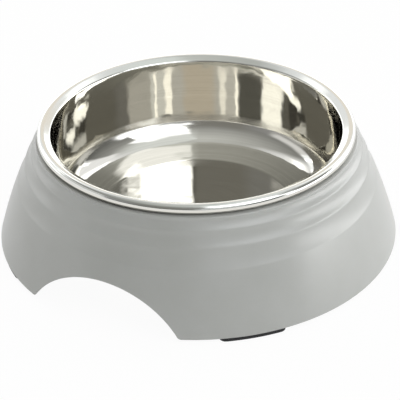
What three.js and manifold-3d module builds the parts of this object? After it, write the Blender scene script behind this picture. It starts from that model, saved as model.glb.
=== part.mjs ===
// A pet bowl that comes apart in the hand: a moulded melamine stand on four rubber feet,
// and a deep-drawn steel bowl that drops into it and lifts out by its rolled rim.
// Millimetres, +Z up. The origin is on the floor under the middle of the bowl,
// and the stand's two hand grips face -Y and +Y.
import * as THREE from "three";
import { mergeVertices } from "three/addons/utils/BufferGeometryUtils.js";
import Module from "manifold-3d";

const wasm = await Module();
wasm.setup();

// Steel bowl
const sheet = 0.7; // thickness of the steel
const mouthRadius = 78.5; // inside of the wall, where it bends into the rim
const bowlLift = 11.6; // floor to the underside of the bowl
const wallLean = 1.7; // degrees that the wall leans outwards
const cornerRadius = 22; // inside, between floor and wall
const rimBend = 1.5; // outside of the bend from the wall into the rim
const rimSlope = 28; // degrees that the rim rises outwards, so that food falls back in
const rimFlat = 3; // straight run of the rim between its bend and its roll
const rollRadius = 2.75; // outside of the rolled edge
const rollCurl = 60; // degrees that the roll turns on past its lowest point

// Stand
const baseRadius = 110; // outside, at the bottom edge
const seatHeight = 60.7; // floor to the ledge that carries the bowl's rim
const standWall = 3.2;
const wallBow = 1.8; // how far the wall swells out past a straight cone
const ledgeLip = 0.8; // ledge left showing outside the bowl's roll
const ledgeThickness = 4;
const ledgeRound = 0.8; // outer edge of the ledge
const baseRound = 1; // outer edge of the bottom
const fluteHeights = [6.1, 8, 10.8]; // three hollow bands, from the ledge downwards
const fluteDepths = [0.5, 0.5, 0.42];

// Hand grips, one arch through the wall at the front and one at the back
const gripWidth = 86; // along the bottom edge
const gripHeight = 23.1; // above the bottom edge
const gripCornerRound = 2.5;

// Rubber feet, each a curved pad with a tongue pressed up into a pocket
const footLength = 35; // along the stand's bottom edge
const footPastGrip = 21.6; // from a grip's corner along the bottom edge
const footWidth = 7;
const footProud = 2.5; // floor to the stand's bottom edge
const footInset = 0.8; // stand's outside to the foot's
const tongueHeight = 5;
const tongueWidth = 3.4;
const tongueShoulder = 3; // pad left at each end of the tongue
const pocketWall = 2.2; // stand left around a pocket

// Clearances
const seatGap = 0.3; // under the roll, and above each foot's pad
const mouthGap = 1.1; // between the bowl's wall and the ledge
const pocketGap = 0.3; // around a tongue

// Facets
const roundSegments = 64;
const barSegments = 3;
const gripSegments = 12;
const cutReach = 5; // how far a cutter runs past what it cuts

const radians = THREE.MathUtils.degToRad;

// A closed geometry as a solid, without the slivers that a lathe leaves on its axis.
function solidOf(geometry) {
  const bare = geometry.clone();
  bare.deleteAttribute("normal");
  bare.deleteAttribute("uv");
  const merged = mergeVertices(bare, 1e-4);
  const corners = merged.index.array;
  const kept = [];
  for (let i = 0; i < corners.length; i += 3) {
    const [a, b, c] = corners.subarray(i, i + 3);
    if (a !== b && b !== c && c !== a) kept.push(a, b, c);
  }
  return new wasm.Manifold(
    new wasm.Mesh({
      numProp: 3,
      vertProperties: new Float32Array(merged.attributes.position.array),
      triVerts: new Uint32Array(kept),
    }),
  );
}

function geometryOf(solid) {
  const mesh = solid.getMesh();
  const geometry = new THREE.BufferGeometry();
  geometry.setAttribute("position", new THREE.BufferAttribute(mesh.vertProperties, 3));
  geometry.setIndex(new THREE.BufferAttribute(mesh.triVerts, 1));
  geometry.computeVertexNormals();
  return geometry;
}

// Turns a profile of radius and height about +Z.
function revolve(profile) {
  return new THREE.LatheGeometry(profile, roundSegments).rotateX(Math.PI / 2);
}

// Points along an arc through two ends that swells to the left of the way it is drawn.
function bowedLine(from, to, swell, steps) {
  const chord = to.clone().sub(from);
  const left = new THREE.Vector2(-chord.y, chord.x).normalize();
  const points = [];
  for (let i = 0; i <= steps; i += 1) {
    const share = i / steps;
    const offset = 4 * swell * share * (1 - share);
    points.push(from.clone().addScaledVector(chord, share).addScaledVector(left, offset));
  }
  return points;
}

// The middle of a metal sheet, drawn as it is bent: straight runs and clockwise or
// anticlockwise bends that follow each other without a kink.
class SheetLine {
  constructor(start, heading) {
    this.heading = radians(heading);
    this.stations = [{ at: start.clone(), heading: this.heading }];
  }

  last() {
    return this.stations[this.stations.length - 1].at;
  }

  mark(at) {
    this.stations.push({ at, heading: this.heading });
  }

  straight(length) {
    const along = new THREE.Vector2(Math.cos(this.heading), Math.sin(this.heading));
    this.mark(this.last().clone().addScaledVector(along, length));
    return this;
  }

  // A positive turn is anticlockwise.
  bend(radius, turn, steps) {
    const side = Math.sign(turn);
    const left = new THREE.Vector2(-Math.sin(this.heading), Math.cos(this.heading));
    const centre = this.last().clone().addScaledVector(left, side * radius);
    for (let i = 0; i < steps; i += 1) {
      this.heading += radians(turn) / steps;
      const out = new THREE.Vector2(Math.sin(this.heading), -Math.cos(this.heading));
      this.mark(centre.clone().addScaledVector(out, side * radius));
    }
    return this;
  }

  // The sheet's outline: its right face forwards, then its left face back.
  outline(thickness) {
    const face = (offset) =>
      this.stations.map(({ at, heading }) => {
        const right = new THREE.Vector2(Math.sin(heading), -Math.cos(heading));
        return at.clone().addScaledVector(right, offset);
      });
    return [...face(thickness / 2), ...face(-thickness / 2).reverse()];
  }
}

// Sizes of the rim's section, along the middle of its sheet
const wallHeading = 90 - wallLean;
const bendLine = rimBend - sheet / 2;
const rollLine = rollRadius - sheet / 2;
const cornerLine = cornerRadius + sheet / 2;
const slope = radians(rimSlope);
const lean = radians(wallLean);
const bendRun = bendLine * (Math.cos(lean) - Math.sin(slope));
const bendRise = bendLine * (Math.cos(slope) - Math.sin(lean));
const flatRun = rimFlat * Math.cos(slope);
const flatRise = rimFlat * Math.sin(slope);
const rollRun = rollLine * (1 + Math.sin(slope));
const rollRise = rollLine * (1 - Math.cos(slope));
const rimRadius = mouthRadius + sheet + bendRun + flatRun + rollRun;

// Heights above the floor
const rimTop = seatHeight + seatGap + 2 * rollRadius;
const bowlFloor = bowlLift + sheet;
const wallTop = rimTop - sheet / 2 - rollRise - flatRise - bendRise;
const standBase = footProud;

function steelBowl() {
  const floorLine = bowlFloor - sheet / 2;
  const cornerRise = cornerLine * (1 - Math.sin(lean));
  const wallRise = wallTop - floorLine - cornerRise;
  const wallRun = wallRise * Math.tan(lean);
  const floorRadius = mouthRadius + sheet / 2 - wallRun - cornerLine * Math.cos(lean);
  const line = new SheetLine(new THREE.Vector2(0, floorLine), 0)
    .straight(floorRadius)
    .bend(cornerLine, wallHeading, 8)
    .straight(wallRise / Math.cos(lean))
    .bend(bendLine, rimSlope - wallHeading, 3)
    .straight(rimFlat)
    .bend(rollLine, -rimSlope - 180 - rollCurl, 10);
  return geometryOf(solidOf(revolve(line.outline(sheet))));
}

// The stand's outer wall at a height, without its flutes
const ledgeRadius = rimRadius + ledgeLip;
function standRadius(height) {
  const share = (height - standBase) / (seatHeight - standBase);
  return THREE.MathUtils.lerp(baseRadius, ledgeRadius, share) + 4 * wallBow * share * (1 - share);
}

// Half of the stand's outline from the bottom edge up the outside to the ledge
function standOutside() {
  const at = (height) => new THREE.Vector2(standRadius(height), height);
  const ridges = [seatHeight - ledgeRound];
  let ridge = seatHeight;
  for (const height of fluteHeights) ridges.push((ridge -= height));
  ridges.reverse();
  const depths = [...fluteDepths].reverse();
  const points = [new THREE.Vector2(baseRadius - baseRound, standBase)];
  const wallSteps = 5;
  const wallFoot = standBase + baseRound;
  for (let i = 0; i <= wallSteps; i += 1) {
    points.push(at(THREE.MathUtils.lerp(wallFoot, ridges[0], i / wallSteps)));
  }
  depths.forEach((depth, i) => {
    const flute = bowedLine(at(ridges[i]), at(ridges[i + 1]), depth, 5);
    points.push(...flute.slice(1));
  });
  const edge = new THREE.Path().absarc(
    standRadius(seatHeight - ledgeRound) - ledgeRound,
    seatHeight - ledgeRound,
    ledgeRound,
    0,
    Math.PI / 2,
  );
  points.push(...edge.getPoints(3).slice(1));
  return points;
}

// The outline of a curved bar with round ends, lying along a circle about the origin
function curvedBar(radius, width, length) {
  const sweep = length / radius / 2;
  const end = width / 2;
  const inside = radius - end;
  const outside = radius + end;
  const turn = sweep - end / radius; // from the bar's middle to the centre of a round end
  const across = radius * Math.cos(turn);
  const along = radius * Math.sin(turn);
  const bar = new THREE.Shape();
  bar.absarc(0, 0, outside, -turn, turn, false);
  bar.absarc(across, along, end, turn, turn + Math.PI, false);
  bar.absarc(0, 0, inside, turn, -turn, true);
  bar.absarc(across, -along, end, Math.PI - turn, 2 * Math.PI - turn, false);
  return bar;
}

function prism(shape, bottom, top) {
  const geometry = new THREE.ExtrudeGeometry(shape, {
    depth: top - bottom,
    bevelEnabled: false,
    curveSegments: barSegments,
  });
  return geometry.translate(0, 0, bottom);
}

// Where each foot's middle lies about the stand, in degrees from +X
const gripEdge = Math.asin(gripWidth / 2 / baseRadius);
const footAngle = THREE.MathUtils.radToDeg(gripEdge + (footPastGrip + footLength / 2) / baseRadius);
const footPlaces = {
  front_left: -90 - footAngle,
  front_right: -90 + footAngle,
  rear_right: 90 - footAngle,
  rear_left: 90 + footAngle,
};
const padRadius = baseRadius - footInset - footWidth / 2;
const pocketTop = standBase + tongueHeight + pocketGap;
const pocketWidth = tongueWidth + 2 * pocketGap;
const tongueLength = footLength - 2 * tongueShoulder;
const pocketLength = tongueLength + 2 * pocketGap;
const tongueRadius = standRadius(pocketTop) - pocketWall - pocketWidth / 2;

// The shape cut out of the wall for a hand, seen along Y: an arc that turns out into the
// bottom edge through a small round at each side
function gripOutline() {
  const half = gripWidth / 2;
  const radius = (half * half + gripHeight * gripHeight) / (2 * gripHeight);
  const centre = standBase + gripHeight - radius;
  const roundCentre = standBase + gripCornerRound;
  const reach = radius + gripCornerRound;
  const roundAcross = Math.sqrt(reach * reach - (roundCentre - centre) ** 2);
  const tilt = Math.atan2(roundCentre - centre, roundAcross);
  const outline = new THREE.Shape();
  outline.moveTo(-roundAcross, standBase - cutReach);
  outline.lineTo(roundAcross, standBase - cutReach);
  outline.lineTo(roundAcross, standBase);
  outline.absarc(roundAcross, roundCentre, gripCornerRound, -Math.PI / 2, tilt - Math.PI, true);
  outline.absarc(0, centre, radius, tilt, Math.PI - tilt, false);
  outline.absarc(-roundAcross, roundCentre, gripCornerRound, -tilt, -Math.PI / 2, true);
  return outline;
}

function stand() {
  const outside = standOutside();
  const ledgeBottom = seatHeight - ledgeThickness;
  const mouth = mouthRadius + sheet + mouthGap;
  const inner = (height) => Math.max(standRadius(height) - standWall, mouth);
  const underLedge = ledgeBottom - (inner(ledgeBottom) - mouth);
  const insideSteps = 6;
  const inside = [];
  for (let i = 0; i <= insideSteps; i += 1) {
    const height = THREE.MathUtils.lerp(underLedge, standBase, i / insideSteps);
    inside.push(new THREE.Vector2(inner(height), height));
  }
  const ring = [
    ...outside,
    new THREE.Vector2(mouth, seatHeight),
    new THREE.Vector2(mouth, ledgeBottom),
    ...inside,
    outside[0],
  ];
  const core = [
    new THREE.Vector2(0, standBase),
    ...outside,
    new THREE.Vector2(0, seatHeight),
  ];
  const filled = solidOf(revolve(core));
  let solid = solidOf(revolve(ring));
  const bossWidth = pocketWidth + 2 * pocketWall;
  const bossLength = pocketLength + 2 * pocketWall;
  const boss = curvedBar(tongueRadius, bossWidth, bossLength);
  const pocket = curvedBar(tongueRadius, pocketWidth, pocketLength);
  for (const place of Object.values(footPlaces)) {
    const turn = radians(place);
    const block = prism(boss, standBase, pocketTop + pocketWall).rotateZ(turn);
    solid = solid.add(solidOf(block).intersect(filled));
    const hole = prism(pocket, standBase - cutReach, pocketTop).rotateZ(turn);
    solid = solid.subtract(solidOf(hole));
  }
  const cutLength = 2 * (baseRadius + cutReach);
  const cutter = new THREE.ExtrudeGeometry(gripOutline(), {
    depth: cutLength,
    bevelEnabled: false,
    curveSegments: gripSegments,
  })
    .rotateX(Math.PI / 2)
    .translate(0, cutLength / 2, 0);
  return geometryOf(solid.subtract(solidOf(cutter)));
}

function foot(turn) {
  const padTop = standBase - seatGap;
  const edge = padTop / 4;
  const sole = curvedBar(padRadius, footWidth - 2 * edge, footLength - 2 * edge);
  const pad = new THREE.ExtrudeGeometry(sole, {
    depth: padTop - 2 * edge,
    bevelThickness: edge,
    bevelSize: edge,
    bevelSegments: 1,
    curveSegments: barSegments,
  }).translate(0, 0, edge);
  const bar = curvedBar(tongueRadius, tongueWidth, tongueLength);
  const tongue = prism(bar, padTop / 2, standBase + tongueHeight);
  return geometryOf(solidOf(pad).add(solidOf(tongue))).rotateZ(turn);
}

const melamine = new THREE.MeshStandardMaterial({ color: 0xb7b9b6, roughness: 0.42, metalness: 0 });
const steel = new THREE.MeshStandardMaterial({ color: 0xd6d3cc, roughness: 0.12, metalness: 1 });
const rubber = new THREE.MeshStandardMaterial({ color: 0x17181a, roughness: 0.8, metalness: 0 });

function piece(name, geometry, material) {
  const mesh = new THREE.Mesh(geometry, material);
  mesh.name = name;
  return mesh;
}

const petBowl = new THREE.Group();
petBowl.name = "pet_bowl";
petBowl.add(piece("stand_shell", stand(), melamine));
petBowl.add(piece("steel_bowl", steelBowl(), steel));
for (const [corner, place] of Object.entries(footPlaces)) {
  petBowl.add(piece(`foot_${corner}`, foot(radians(place)), rubber));
}

export default petBowl;
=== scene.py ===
import math

import bmesh
import bpy
from mathutils import Matrix, Vector


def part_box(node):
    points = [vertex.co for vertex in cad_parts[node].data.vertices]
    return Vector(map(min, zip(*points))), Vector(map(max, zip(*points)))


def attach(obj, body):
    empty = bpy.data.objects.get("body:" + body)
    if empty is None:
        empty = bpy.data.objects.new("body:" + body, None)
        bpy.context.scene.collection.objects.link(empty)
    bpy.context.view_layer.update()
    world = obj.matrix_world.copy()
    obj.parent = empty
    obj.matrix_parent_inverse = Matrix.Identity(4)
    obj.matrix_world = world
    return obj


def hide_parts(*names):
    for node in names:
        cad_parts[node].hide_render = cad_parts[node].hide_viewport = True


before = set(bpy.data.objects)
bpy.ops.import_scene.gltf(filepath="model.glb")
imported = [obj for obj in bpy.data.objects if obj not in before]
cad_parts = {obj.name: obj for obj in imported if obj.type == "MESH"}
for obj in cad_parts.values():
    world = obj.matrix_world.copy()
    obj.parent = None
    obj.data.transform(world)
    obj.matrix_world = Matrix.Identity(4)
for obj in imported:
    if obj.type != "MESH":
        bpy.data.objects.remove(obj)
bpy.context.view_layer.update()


# Stand
# One compression-moulded melamine shell: a swelling cone with three hollow flutes under its
# top edge, a ledge that carries the bowl, and an arch at the front and back for the fingers.
# Four bosses inside its bottom edge hold the feet.
MM = 0.001  # sizes are in millimetres and the frame is in metres
stand_low, stand_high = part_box("stand_shell")
base_height = stand_low.z / MM
seat_height = stand_high.z / MM
base_radius = 110.0
ledge_radius = 86.8
wall_bow = 1.8  # how far the wall swells out past a straight cone
wall_thickness = 3.2
mouth_radius = 80.3  # hole in the ledge that the bowl drops through
ledge_thickness = 4.0
flute_heights = (6.1, 8.0, 10.8)  # from the ledge downwards
flute_depths = (0.65, 0.62, 0.52)
ridge_softness = 0.7  # how far each ridge between two flutes is rounded over
ledge_round = 0.8
edge_round = 0.7  # bottom edge and arches
mouth_round = 0.6

arch_width = 86.0
arch_height = 23.1
arch_corner = 2.5
arch_radius = ((arch_width / 2) ** 2 + arch_height**2) / (2 * arch_height)
arch_centre = base_height + arch_height - arch_radius

foot_length = 35.0
foot_past_arch = 21.6  # from an arch's corner, along the bottom edge
arch_turn = math.asin(arch_width / 2 / base_radius)
foot_angle = math.degrees(arch_turn + (foot_past_arch + foot_length / 2) / base_radius)
foot_azimuths = {
    "front_left": 270 - foot_angle,
    "front_right": 270 + foot_angle,
    "rear_right": 90 - foot_angle,
    "rear_left": 90 + foot_angle,
}
tongue_width = 3.4
tongue_height = 5.0
tongue_shoulder = 3.0  # pad left at each end of the tongue
tongue_length = foot_length - 2 * tongue_shoulder
pocket_gap = 0.3
pocket_wall = 2.2
boss_slope = 0.4  # height of the slope on top of a boss
plain_edge = 2.0  # wall left plain above its inside edge
arch_margin = 5.0  # wall left plain above the arches, up to where the flutes' fine steps start


def wall_radius(height):
    """Outside of the stand's wall without its flutes."""
    share = (height - base_height) / (seat_height - base_height)
    straight = base_radius + (ledge_radius - base_radius) * share
    return straight + 4 * wall_bow * share * (1 - share)


def flute_hollow(height):
    """How far the flutes cut into the wall at a height, with the ridges between them rounded."""
    hollow = 0.0
    top = seat_height
    for band, depth in zip(flute_heights, flute_depths):
        share = (top - height) / band
        if 0 < share < 1:
            near = min(share, 1 - share) * band
            blunt = 1 - math.exp(-near / ridge_softness)
            hollow = depth * 4 * share * (1 - share) * blunt
        top -= band
    return hollow


def arch_edge(across):
    """Height of the stand's lower edge at a distance to the side of the arch's middle."""
    corner_centre = base_height + arch_corner
    reach = arch_radius + arch_corner
    corner_across = math.sqrt(reach**2 - (corner_centre - arch_centre) ** 2)
    meeting = corner_across * arch_radius / reach
    across = abs(across)
    if across < meeting:
        return arch_centre + math.sqrt(arch_radius**2 - across**2)
    if across < corner_across:
        return corner_centre - math.sqrt(arch_corner**2 - (corner_across - across) ** 2)
    return base_height


def lower_edge(azimuth, inset):
    """Where the wall ends at an azimuth, on the surface that far inside its outer face."""
    height = base_height
    for _ in range(30):
        height = arch_edge((wall_radius(height) - inset) * math.cos(math.radians(azimuth)))
    return wall_radius(height) - inset, height


def fillet(corner, before, after, size, steps):
    """Points that round a corner of a section, from the side it comes from to the one it goes to."""
    corner, before, after = Vector(corner), Vector(before), Vector(after)
    back = (before - corner).normalized() * size
    on = (after - corner).normalized() * size
    points = []
    for i in range(steps + 1):
        share = i / steps
        points.append(tuple(corner + back * (1 - share) ** 2 + on * share**2))
    return points


def between(low, high, steps):
    """Evenly spaced values from low to high, without the last."""
    return [low + (high - low) * i / steps for i in range(steps)]


tongue_radius = (
    wall_radius(base_height + tongue_height + pocket_gap) - pocket_wall - tongue_width / 2 - pocket_gap
)
pocket_half = tongue_width / 2 + pocket_gap
boss_half = pocket_half + pocket_wall
pocket_top = base_height + tongue_height + pocket_gap
boss_top = pocket_top + pocket_wall
pocket_length = tongue_length + 2 * pocket_gap
boss_length = tongue_length + 2 * (pocket_gap + pocket_wall)


def bar_half_width(azimuth, half_width, length):
    """Half the width of a round-ended bar, the nearest of those under the stand, at an azimuth."""
    away = min(abs((azimuth - place + 180) % 360 - 180) for place in foot_azimuths.values())
    past = max(0.0, math.radians(away) * tongue_radius - (length / 2 - half_width))
    return math.sqrt(max(0.0, half_width**2 - past**2))


def stand_section(azimuth):
    """The wall's closed outline at an azimuth, as radius and height, from the bottom up the outside."""
    above_arch = base_height + arch_height + arch_margin
    outer = lower_edge(azimuth, 0)
    inner = lower_edge(azimuth, wall_thickness)
    up = (wall_radius(outer[1] + 1), outer[1] + 1)
    section = fillet(outer, inner, up, edge_round, 4)

    # Up the outside, over the flutes and round the ledge's edge
    for height in between(section[-1][1], above_arch, 14)[1:]:
        section.append((wall_radius(height), height))
    for height in between(above_arch, seat_height - ledge_round, 64):
        section.append((wall_radius(height) - flute_hollow(height), height))
    edge_radius = wall_radius(seat_height - ledge_round)
    for i in range(7):
        turn = math.radians(i * 15)
        section.append(
            (
                edge_radius - ledge_round * (1 - math.cos(turn)),
                seat_height - ledge_round * (1 - math.sin(turn)),
            )
        )

    # Over the ledge and down through the mouth
    ledge_bottom = seat_height - ledge_thickness
    mouth_top = (mouth_radius, seat_height)
    mouth_bottom = (mouth_radius, ledge_bottom)
    section += fillet(mouth_top, (ledge_radius, seat_height), mouth_bottom, mouth_round, 3)
    inside_top = wall_radius(ledge_bottom) - wall_thickness
    under_ledge = ledge_bottom - max(0.0, inside_top - mouth_radius)
    section.append(mouth_bottom)

    # Down the inside and over the boss, where there is one
    shelf = max(boss_top, inner[1] + plain_edge)
    for height in between(under_ledge, above_arch, 8) + between(above_arch, shelf, 8):
        section.append((max(wall_radius(height) - wall_thickness, mouth_radius), height))
    boss = bar_half_width(azimuth, boss_half, boss_length)
    boss_inside = tongue_radius - boss if boss > 0 else base_radius
    section.append((wall_radius(shelf) - wall_thickness, shelf))
    slope_foot = shelf - boss_slope
    section.append((min(wall_radius(slope_foot) - wall_thickness, boss_inside), slope_foot))
    corner = (min(inner[0], boss_inside), inner[1])
    above = (min(wall_radius(inner[1] + 1) - wall_thickness, boss_inside), inner[1] + 1)
    section += fillet(corner, above, outer, edge_round, 3)

    # Across the bottom, with a pocket for the foot's tongue
    inside_lip = section[-1]
    outside_lip = section[0]
    pocket = bar_half_width(azimuth, pocket_half, pocket_length)
    if pocket > 0:
        section.append((tongue_radius - pocket, base_height))
        section.append((tongue_radius - pocket, pocket_top))
        section.append((tongue_radius + pocket, pocket_top))
        section.append((tongue_radius + pocket, base_height))
    else:
        for share in (0.2, 0.4, 0.6, 0.8):
            section.append(tuple(a + (b - a) * share for a, b in zip(inside_lip, outside_lip)))
    return section


sharp_edge = math.radians(38)  # faces that meet at more than this keep a sharp edge


def loft(name, loops, joined):
    """A closed mesh through loops of points in millimetres, joined end to start or capped."""
    made = bmesh.new()
    rows = [[made.verts.new(Vector(point) * MM) for point in loop] for loop in loops]
    pairs = list(zip(rows, rows[1:] + rows[:1])) if joined else list(zip(rows, rows[1:]))
    for row, next_row in pairs:
        for i, vertex in enumerate(row):
            j = (i + 1) % len(row)
            made.faces.new((vertex, row[j], next_row[j], next_row[i]))
    if not joined:
        made.faces.new(rows[0])
        made.faces.new(rows[-1])
    bmesh.ops.recalc_face_normals(made, faces=made.faces)
    mesh = bpy.data.meshes.new(name)
    made.to_mesh(mesh)
    made.free()
    mesh.shade_smooth()
    mesh.set_sharp_from_angle(angle=sharp_edge)
    piece = bpy.data.objects.new(name, mesh)
    bpy.context.scene.collection.objects.link(piece)
    return piece


def turned(section, azimuth):
    """A section of radius and height set at an azimuth about the upright axis."""
    turn = math.radians(azimuth)
    return [(radius * math.cos(turn), radius * math.sin(turn), height) for radius, height in section]


# Columns stand every degree, and closer where an arch, a boss or a pocket turns.
closest = 0.02  # degrees between two columns
arch_steps = [0.25 * i for i in range(-14, 15)]  # degrees from the corner of an arch
end_steps = (-2, -1, -0.5, -0.25, -0.1, -0.03, 0.03)  # degrees from the end of a boss or pocket
columns = set(range(360))
for middle in (90, 270):
    for side in (-1, 1):
        corner = middle + side * math.degrees(arch_turn)
        columns.update(corner + step for step in arch_steps)
for place in foot_azimuths.values():
    for length in (boss_length, pocket_length):
        end = math.degrees(length / 2 / tongue_radius)
        for side in (-1, 1):
            columns.update(place + side * (end + step) for step in end_steps)
azimuths = []
for azimuth in sorted(column % 360 for column in columns):
    if not azimuths or azimuth - azimuths[-1] > closest:
        azimuths.append(azimuth)
stand = loft("melamine_stand", [turned(stand_section(azimuth), azimuth) for azimuth in azimuths], True)


def linear(colour):
    """An sRGB hex colour as linear red, green, blue and alpha."""
    channels = [int(colour[i : i + 2], 16) / 255 for i in (1, 3, 5)]
    return [c / 12.92 if c <= 0.04045 else ((c + 0.055) / 1.055) ** 2.4 for c in channels] + [1.0]


def add_node(tree, kind, settings, links):
    """Adds one node with its settings, on sockets or on the node itself, and its links.
    A socket that shares its name with another is given by its number."""
    node = tree.nodes.new(kind)
    for name, value in settings.items():
        if isinstance(name, int) or name in node.inputs:
            node.inputs[name].default_value = value
        else:
            setattr(node, name, value)
    for name, source in links.items():
        tree.links.new(source, node.inputs[name])
    return node


def new_material(name):
    """An empty node material, with its tree."""
    material = bpy.data.materials.new(name)
    material.use_nodes = True
    material.node_tree.nodes.clear()
    return material, material.node_tree


# Compression-moulded melamine: a dense satin plastic. The eye sees an even pale grey with a
# faint cloud in it, specks of filler and a very slight ripple in the soft highlight. Real
# specks are about 0.2 mm across. They are drawn at 0.7 mm, so that they show.
melamine, tree = new_material("compression_moulded_melamine")
place = add_node(tree, "ShaderNodeTexCoord", {}, {})
cloud_width = 18 * MM
speck_width = 0.7 * MM
cloud = add_node(
    tree,
    "ShaderNodeTexNoise",
    {"Scale": 1 / cloud_width, "Detail": 3.0},
    {"Vector": place.outputs["Object"]},
)
specks = add_node(
    tree,
    "ShaderNodeTexNoise",
    {"Scale": 1 / speck_width, "Detail": 2.0},
    {"Vector": place.outputs["Object"]},
)
grain = add_node(
    tree,
    "ShaderNodeMath",
    {"operation": "MULTIPLY_ADD", 1: 0.35},
    {0: specks.outputs["Fac"], 2: cloud.outputs["Fac"]},
)
tint = add_node(
    tree,
    "ShaderNodeMapRange",
    {
        "data_type": "FLOAT_VECTOR",
        7: [0.35] * 3,
        8: [1.0] * 3,
        9: linear("#A8A9A5")[:3],
        10: linear("#AEAFAC")[:3],
    },
    {6: grain.outputs[0]},
)
gloss = add_node(
    tree, "ShaderNodeMapRange", {1: 0.3, 2: 0.7, 3: 0.285, 4: 0.32}, {0: cloud.outputs["Fac"]}
)
ripple = add_node(
    tree, "ShaderNodeBump", {"Strength": 0.5, "Distance": 0.05 * MM}, {"Height": cloud.outputs["Fac"]}
)
surface = add_node(
    tree,
    "ShaderNodeBsdfPrincipled",
    {"IOR": 1.66},
    {"Base Color": tint.outputs[1], "Roughness": gloss.outputs[0], "Normal": ripple.outputs[0]},
)
add_node(tree, "ShaderNodeOutputMaterial", {}, {"Surface": surface.outputs[0]})
stand.data.materials.append(melamine)
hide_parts("stand_shell")
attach(stand, "stand")


# Feet
# Four moulded rubber pads, curved to follow the stand's bottom edge. Each has a tongue that
# is pressed up into a pocket in the stand.
foot_width = 7.0
foot_inset = 0.8  # from the stand's bottom edge to the pad
foot_round = 0.6
pad_gap = 0.3  # between the pad and the stand's bottom edge
tip_taper = 0.3  # on each side of the tongue's tip
tip_height = 0.5
pad_radius = base_radius - foot_inset - foot_width / 2
pad_top = base_height - pad_gap


def bar_loop(radius, width, length, height, azimuth):
    """The outline of a round-ended bar along a circle about the upright axis, at a height."""
    half = width / 2
    sweep = (length / 2 - half) / radius
    loop = []
    for i in range(21):
        turn = -sweep + 2 * sweep * i / 20
        loop.append((turn, radius + half))
    for i in range(1, 12):
        round_turn = math.pi * i / 12
        loop.append((sweep + half * math.sin(round_turn) / radius, radius + half * math.cos(round_turn)))
    for i in range(21):
        turn = sweep - 2 * sweep * i / 20
        loop.append((turn, radius - half))
    for i in range(1, 12):
        round_turn = math.pi * i / 12
        loop.append((-sweep - half * math.sin(round_turn) / radius, radius - half * math.cos(round_turn)))
    base = math.radians(azimuth)
    return [(r * math.cos(base + turn), r * math.sin(base + turn), height) for turn, r in loop]


def foot_loops(azimuth):
    """The foot's outlines from the sole up: the pad's rounded edges, then the tongue."""
    loops = []
    for centre, start in ((foot_round, 0), (pad_top - foot_round, 90)):
        for i in range(5):
            turn = math.radians(start + i * 22.5)
            inset = foot_round * (1 - math.sin(turn))
            height = centre - foot_round * math.cos(turn)
            loops.append(
                bar_loop(pad_radius, foot_width - 2 * inset, foot_length - 2 * inset, height, azimuth)
            )
    loops.append(bar_loop(tongue_radius, tongue_width, tongue_length, pad_top, azimuth))
    tip = base_height + tongue_height
    tip_width = tongue_width - 2 * tip_taper
    tip_length = tongue_length - 2 * tip_taper
    loops.append(bar_loop(tongue_radius, tongue_width, tongue_length, tip - tip_height, azimuth))
    loops.append(bar_loop(tongue_radius, tip_width, tip_length, tip, azimuth))
    return loops


# Moulded black rubber: matt, with the fine grain of an eroded mould that greys it a little. The
# real grain is about 0.1 mm. It is drawn at 0.4 mm, so that it shows.
rubber, tree = new_material("moulded_black_rubber")
place = add_node(tree, "ShaderNodeTexCoord", {}, {})
grain_width = 0.4 * MM
grain = add_node(
    tree,
    "ShaderNodeTexNoise",
    {"Scale": 1 / grain_width, "Detail": 4.0},
    {"Vector": place.outputs["Object"]},
)
tint = add_node(
    tree,
    "ShaderNodeMapRange",
    {
        "data_type": "FLOAT_VECTOR",
        7: [0.3] * 3,
        8: [0.7] * 3,
        9: linear("#121314")[:3],
        10: linear("#202122")[:3],
    },
    {6: grain.outputs["Fac"]},
)
bump = add_node(
    tree, "ShaderNodeBump", {"Strength": 0.4, "Distance": 0.1 * MM}, {"Height": grain.outputs["Fac"]}
)
surface = add_node(
    tree,
    "ShaderNodeBsdfPrincipled",
    {"Roughness": 0.72, "IOR": 1.52},
    {"Base Color": tint.outputs[1], "Normal": bump.outputs[0]},
)
add_node(tree, "ShaderNodeOutputMaterial", {}, {"Surface": surface.outputs[0]})
for corner, azimuth in foot_azimuths.items():
    foot = loft(f"rubber_foot_{corner}", foot_loops(azimuth), False)
    foot.data.materials.append(rubber)
    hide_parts(f"foot_{corner}")
    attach(foot, "stand")


# Bowl
# One disc of stainless sheet, deep drawn and polished. A sloping ring and a corner rise from its
# flat floor to a heel at the foot of the wall, and its rim is rolled outwards and under. It
# hangs in the stand by that roll and lifts straight out for washing.
bowl_low, bowl_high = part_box("steel_bowl")
sheet = 0.7
bowl_mouth = 78.5
wall_lean = 2.25
ring_bend = 5.0  # bend that lifts a sloping ring off the flat floor
ring_slope = 17.5
ring_width = 11.0
corner_radius = 20.0
heel_bend = 0.9  # tight bend where the corner meets the wall
heel_turn = 25.0
rim_bend = 1.5
rim_slope = 28.0
rim_flat = 3.0
roll_radius = 2.75
roll_curl = 60.0

lean = math.radians(wall_lean)
slope = math.radians(rim_slope)
bend_line = rim_bend - sheet / 2
roll_line = roll_radius - sheet / 2
floor_line = bowl_low.z / MM + sheet / 2
rim_rise = (
    roll_line * (1 - math.cos(slope))
    + rim_flat * math.sin(slope)
    + bend_line * (math.cos(slope) - math.sin(lean))
)


def bent_sheet(start, moves):
    """The middle of a sheet as it is bent: radius, height and heading at each step.
    A move is a bend's radius or a straight run's length, the degrees it turns and its steps."""
    radius, height = start
    heading = 0.0
    stations = [(radius, height, heading)]
    for size, turn, steps in moves:
        for _ in range(steps):
            if turn:
                step = math.radians(turn) / steps
                side = math.copysign(size, turn)
                radius += side * (math.sin(heading + step) - math.sin(heading))
                height -= side * (math.cos(heading + step) - math.cos(heading))
                heading += step
            else:
                radius += size / steps * math.cos(heading)
                height += size / steps * math.sin(heading)
            stations.append((radius, height, heading))
    return stations


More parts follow.
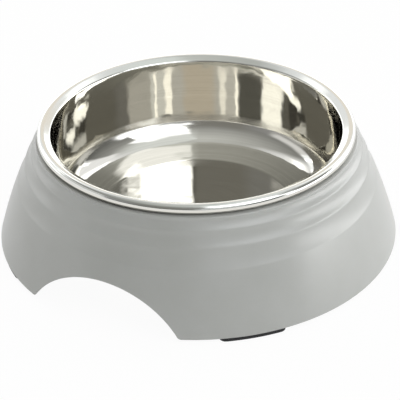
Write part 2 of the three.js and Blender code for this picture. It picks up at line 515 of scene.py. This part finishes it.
corner_moves = [
    (ring_bend + sheet / 2, ring_slope, 6),
    (ring_width, 0, 8),
    (corner_radius + sheet / 2, 90 - wall_lean - ring_slope - heel_turn, 24),
    (heel_bend + sheet / 2, heel_turn, 8),
]
corner_reach, corner_rise, _ = bent_sheet((0.0, 0.0), corner_moves)[-1]
wall_foot = floor_line + corner_rise
wall_rise = bowl_high.z / MM - sheet / 2 - rim_rise - wall_foot
floor_radius = bowl_mouth + sheet / 2 - wall_rise * math.tan(lean) - corner_reach
eye = 2.0  # radius of the flat middle that closes the floor
stations = bent_sheet(
    (eye, floor_line),
    [
        (floor_radius - eye, 0, 20),
        *corner_moves,
        (wall_rise / math.cos(lean), 0, 24),
        (bend_line, rim_slope + wall_lean - 90, 10),
        (rim_flat, 0, 4),
        (roll_line, -rim_slope - 180 - roll_curl, 44),
    ],
)
inside = [(r - sheet / 2 * math.sin(a), z + sheet / 2 * math.cos(a)) for r, z, a in stations]
outside = [(r + sheet / 2 * math.sin(a), z - sheet / 2 * math.cos(a)) for r, z, a in stations]
round_steps = 288
turns = [math.tau * i / round_steps for i in range(round_steps)]
circle = [(math.cos(turn), math.sin(turn)) for turn in turns]
hoops = [[(r * x, r * y, z) for x, y in circle] for r, z in inside + outside[::-1]]
bowl = loft("steel_bowl_drawn", hoops, False)

# Drawn and polished stainless steel. The eye sees a slightly warm mirror inside, bent a little
# by the ripples that drawing leaves, with rings of polishing marks and a duller line round the
# heel, where the buff doesn't reach. The rolled rim is paler and not quite a mirror. Real
# polishing marks are about 0.1 mm apart. They are drawn 0.9 mm apart, so that they show.
mark_width = 0.9 * MM
ripple_width = 11 * MM
ripple_height = 0.11 * MM
rim_finish = (bowl_high.z - 2.6 * MM, bowl_high.z - 1.9 * MM)  # where it starts, and is full
heel_line = (wall_foot + 0.5) * MM  # just over the foot of the wall
heel_dull = (1.5 * MM, 5.0 * MM)  # away from that line, where it is full, and gone
steel, tree = new_material("polished_drawn_stainless_steel")
place = add_node(tree, "ShaderNodeTexCoord", {}, {})
axes = add_node(tree, "ShaderNodeSeparateXYZ", {}, {0: place.outputs["Object"]})
flat_place = add_node(tree, "ShaderNodeCombineXYZ", {}, {"X": axes.outputs["X"], "Y": axes.outputs["Y"]})
from_axis = add_node(tree, "ShaderNodeVectorMath", {"operation": "LENGTH"}, {0: flat_place.outputs[0]})
ring_place = add_node(
    tree, "ShaderNodeCombineXYZ", {}, {"X": from_axis.outputs["Value"], "Z": axes.outputs["Z"]}
)
rings = add_node(
    tree, "ShaderNodeTexNoise", {"Scale": 1 / mark_width, "Detail": 2.0}, {"Vector": ring_place.outputs[0]}
)
tint = add_node(
    tree,
    "ShaderNodeMapRange",
    {
        "data_type": "FLOAT_VECTOR",
        7: [0.35] * 3,
        8: [0.65] * 3,
        9: linear("#DBD9D2")[:3],
        10: linear("#E1DFD8")[:3],
    },
    {6: rings.outputs["Fac"]},
)
mirror = add_node(tree, "ShaderNodeMapRange", {1: 0.3, 2: 0.7, 3: 0.02, 4: 0.06}, {0: rings.outputs["Fac"]})
on_rim = add_node(
    tree, "ShaderNodeMapRange", {1: rim_finish[0], 2: rim_finish[1]}, {0: axes.outputs["Z"]}
)
sheen = add_node(
    tree,
    "ShaderNodeMix",
    {"data_type": "RGBA", 7: linear("#DFE0DB")},
    {0: on_rim.outputs[0], 6: tint.outputs[1]},
)
over_heel = add_node(
    tree, "ShaderNodeMath", {"operation": "SUBTRACT", 1: heel_line}, {0: axes.outputs["Z"]}
)
from_heel = add_node(tree, "ShaderNodeMath", {"operation": "ABSOLUTE"}, {0: over_heel.outputs[0]})
dull = add_node(
    tree,
    "ShaderNodeMapRange",
    {"interpolation_type": "SMOOTHSTEP", 1: heel_dull[0], 2: heel_dull[1], 3: 0.13, 4: 0.0},
    {0: from_heel.outputs[0]},
)
rough = add_node(
    tree,
    "ShaderNodeMath",
    {"operation": "MULTIPLY_ADD", 1: 0.1},
    {0: on_rim.outputs[0], 2: mirror.outputs[0]},
)
gloss = add_node(tree, "ShaderNodeMath", {"operation": "ADD"}, {0: rough.outputs[0], 1: dull.outputs[0]})
draw_marks = add_node(
    tree,
    "ShaderNodeTexNoise",
    {"Scale": 1 / ripple_width, "Detail": 1.0},
    {"Vector": place.outputs["Object"]},
)
ripple = add_node(
    tree,
    "ShaderNodeBump",
    {"Strength": 1.0, "Distance": ripple_height},
    {"Height": draw_marks.outputs["Fac"]},
)
surface = add_node(
    tree,
    "ShaderNodeBsdfPrincipled",
    {"Metallic": 1.0},
    {"Base Color": sheen.outputs[2], "Roughness": gloss.outputs[0], "Normal": ripple.outputs[0]},
)
add_node(tree, "ShaderNodeOutputMaterial", {}, {"Surface": surface.outputs[0]})
bowl.data.materials.append(steel)
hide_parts("steel_bowl")
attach(bowl, "bowl")


# Studio
# A floor of white paper, a room of softboxes and pale walls that lights the object, and the
# camera where the photograph was taken from.
floor_half = 3.0  # metres
floor_corners = [(x * floor_half, y * floor_half, 0) for x, y in ((-1, -1), (1, -1), (1, 1), (-1, 1))]
floor_mesh = bpy.data.meshes.new("floor")
floor_mesh.from_pydata(floor_corners, [], [(0, 1, 2, 3)])
floor = bpy.data.objects.new("floor", floor_mesh)
bpy.context.scene.collection.objects.link(floor)

# White paper: matt. The camera and the steel see it as plain white, with the object's faint shadow.
paper, tree = new_material("white_paper")
seen = add_node(tree, "ShaderNodeLightPath", {}, {})
matt = add_node(tree, "ShaderNodeBsdfDiffuse", {"Color": linear("#F4F4F2")}, {})
bright = add_node(tree, "ShaderNodeEmission", {"Strength": 1.0}, {})
straight = add_node(
    tree,
    "ShaderNodeMath",
    {"operation": "MAXIMUM"},
    {0: seen.outputs["Is Camera Ray"], 1: seen.outputs["Is Glossy Ray"]},
)
clear = add_node(
    tree,
    "ShaderNodeMath",
    {"operation": "MAXIMUM"},
    {0: straight.outputs[0], 1: seen.outputs["Is Transmission Ray"]},
)
share = add_node(tree, "ShaderNodeMath", {"operation": "MULTIPLY", 1: 0.95}, {0: clear.outputs[0]})
both = add_node(
    tree, "ShaderNodeMixShader", {}, {0: share.outputs[0], 1: matt.outputs[0], 2: bright.outputs[0]}
)
add_node(tree, "ShaderNodeOutputMaterial", {}, {"Surface": both.outputs[0]})
floor.data.materials.append(paper)

# The room round the object, which the steel mirrors: each row is a lit or dark stretch of it,
# by the azimuth and elevation of its middle, half its width and height, the softness of its
# edges, all in degrees, its colour and its brightness against a white sheet of paper.
room_parts = (
    ("ceiling", 110, 90, 75, 32, 12, "#FBFFFE", 0.90),
    ("camera_side", 18, 24, 36, 20, 10, "#FFFDF5", 0.25),
    ("camera", 40, 28, 9, 8, 4, "#FFFDF5", 0.1),
    ("far_wall", 209, 20, 60, 42, 10, "#FCFDFF", 1.0),
    ("far_door", 204, 32, 24, 12, 6, "#FFF7ED", 1.0),
    ("left_corner", 330, 20, 14, 15, 8, "#FFFFFF", 0.32),
    ("left_side", 299, 28, 21, 6, 4, "#FFFFFF", 0.85),
    ("left_wall", 267, 28, 14, 5, 2, "#F9FCFF", 1.35),
    ("right_wall", 155, 20, 16, 36, 3, "#FCFDFF", 1.1),
    ("left_panel", 252, 28, 6, 5, 2, "#FFFFFF", 2.4),
    ("left_lamp", 254, 44, 9, 5, 4, "#FFFFFF", 1.8),
    ("left_strip", 273, 28, 2, 5, 1, "#FFFFFF", 2.6),
    ("right_panel", 166, 18, 5, 34, 3, "#FFFFFF", 1.9),
    ("right_strip", 144, 26, 2, 7, 1, "#FFFFFF", 2.6),
    ("roof_softbox", 72, 61, 36, 9, 3, "#FAFCFF", 1.6),
    ("top_softbox", 66, 50, 28, 7, 3, "#FAFCFF", 3.2),
    ("high_softbox", 69, 42, 24, 6, 2, "#FAFCFF", 3.6),
    ("middle_softbox", 57, 35, 23, 3, 2, "#FAFCFF", 2.7),
    ("foot_softbox", 45, 16, 16, 7, 3, "#FAFCFF", 1.1),
    ("low_softbox", 81, 28, 19, 6, 3, "#FAFCFF", 2.5),
    ("backdrop", 204, 4, 105, 11, 4, "#FFFFFF", 2.2),
    ("left_backdrop", 304, 5, 20, 12, 4, "#FFFFFF", 1.0),
    ("right_backdrop", 125, 4, 34, 11, 4, "#FFFFFF", 4.4),
)
world = bpy.data.worlds.new("studio")
world.use_nodes = True
bpy.context.scene.world = world
tree = world.node_tree
tree.nodes.clear()
place = add_node(tree, "ShaderNodeTexCoord", {}, {})
axes = add_node(tree, "ShaderNodeSeparateXYZ", {}, {0: place.outputs["Generated"]})
away = add_node(tree, "ShaderNodeMath", {"operation": "MULTIPLY", 1: -1.0}, {0: axes.outputs["Y"]})
azimuth = add_node(
    tree, "ShaderNodeMath", {"operation": "ARCTAN2"}, {0: axes.outputs["X"], 1: away.outputs[0]}
)
elevation = add_node(tree, "ShaderNodeMath", {"operation": "ARCSINE"}, {0: axes.outputs["Z"]})
spot = add_node(tree, "ShaderNodeCombineXYZ", {}, {"X": azimuth.outputs[0], "Y": elevation.outputs[0]})

# Between those parts the room is dim near the floor and grows lighter overhead.
dim_below = math.radians(15)
light_above = math.radians(85)
dim_light = (0.085, 0.085, 0.08)
overhead_light = (0.66, 0.67, 0.65)
bare_room = add_node(
    tree,
    "ShaderNodeMapRange",
    {
        "data_type": "FLOAT_VECTOR",
        7: [dim_below] * 3,
        8: [light_above] * 3,
        9: dim_light,
        10: overhead_light,
    },
    {6: elevation.outputs[0]},
)
shown = bare_room.outputs[1]
for name, turn, rise, half_turn, half_rise, softness, colour, brightness in room_parts:
    offset = add_node(
        tree,
        "ShaderNodeVectorMath",
        {"operation": "SUBTRACT", "label": name, 1: (math.radians(turn), math.radians(rise), 0)},
        {0: spot.outputs[0]},
    )
    near = add_node(
        tree,
        "ShaderNodeVectorMath",
        {"operation": "WRAP", 1: [math.pi] * 3, 2: [-math.pi] * 3},
        {0: offset.outputs[0]},
    )
    size = add_node(tree, "ShaderNodeVectorMath", {"operation": "ABSOLUTE"}, {0: near.outputs[0]})
    cover = add_node(
        tree,
        "ShaderNodeMapRange",
        {
            "data_type": "FLOAT_VECTOR",
            "interpolation_type": "SMOOTHSTEP",
            7: [math.radians(half_turn - softness), math.radians(half_rise - softness), 0],
            8: [math.radians(half_turn + softness), math.radians(half_rise + softness), 1],
            9: (1.0, 1.0, 1.0),
            10: (0.0, 0.0, 0.0),
        },
        {6: size.outputs[0]},
    )
    sides = add_node(tree, "ShaderNodeSeparateXYZ", {}, {0: cover.outputs[1]})
    share = add_node(
        tree, "ShaderNodeMath", {"operation": "MULTIPLY"}, {0: sides.outputs["X"], 1: sides.outputs["Y"]}
    )
    light = [channel * brightness for channel in linear(colour)[:3]] + [1.0]
    mixed = add_node(
        tree, "ShaderNodeMix", {"data_type": "RGBA", 7: light}, {0: share.outputs[0], 6: shown}
    )
    shown = mixed.outputs[2]
seen = add_node(tree, "ShaderNodeLightPath", {}, {})
room = add_node(tree, "ShaderNodeBackground", {"Strength": 1.0}, {"Color": shown})
white = add_node(tree, "ShaderNodeBackground", {"Color": (1, 1, 1, 1), "Strength": 1.0}, {})
both = add_node(
    tree,
    "ShaderNodeMixShader",
    {},
    {0: seen.outputs["Is Camera Ray"], 1: room.outputs[0], 2: white.outputs[0]},
)
add_node(tree, "ShaderNodeOutputWorld", {}, {"Surface": both.outputs[0]})

# The camera stands where the base, the rim and the arch fall as they do in the photograph.
camera_azimuth = math.radians(28.8)
camera_elevation = math.radians(31.55)
camera_roll = math.radians(-1.16)
camera_distance = 0.88  # metres
aim_right = 1.21 * MM
aim_height = 17.66 * MM
back = Vector(
    (
        math.sin(camera_azimuth) * math.cos(camera_elevation),
        -math.cos(camera_azimuth) * math.cos(camera_elevation),
        math.sin(camera_elevation),
    )
)
right = Vector((math.cos(camera_azimuth), math.sin(camera_azimuth), 0))
lens = bpy.data.cameras.new("camera")
lens.lens = 142.55
lens.sensor_width = 36
camera = bpy.data.objects.new("camera", lens)
camera_point = right * aim_right + Vector((0, 0, aim_height)) + back * camera_distance
facing = Matrix((right, back.cross(right), back)).transposed().to_4x4()
roll = Matrix.Rotation(camera_roll, 4, "Z")
camera.matrix_world = Matrix.Translation(camera_point) @ facing @ roll
bpy.context.scene.collection.objects.link(camera)
bpy.context.scene.camera = camera
bpy.context.scene.view_settings.view_transform = "Standard"
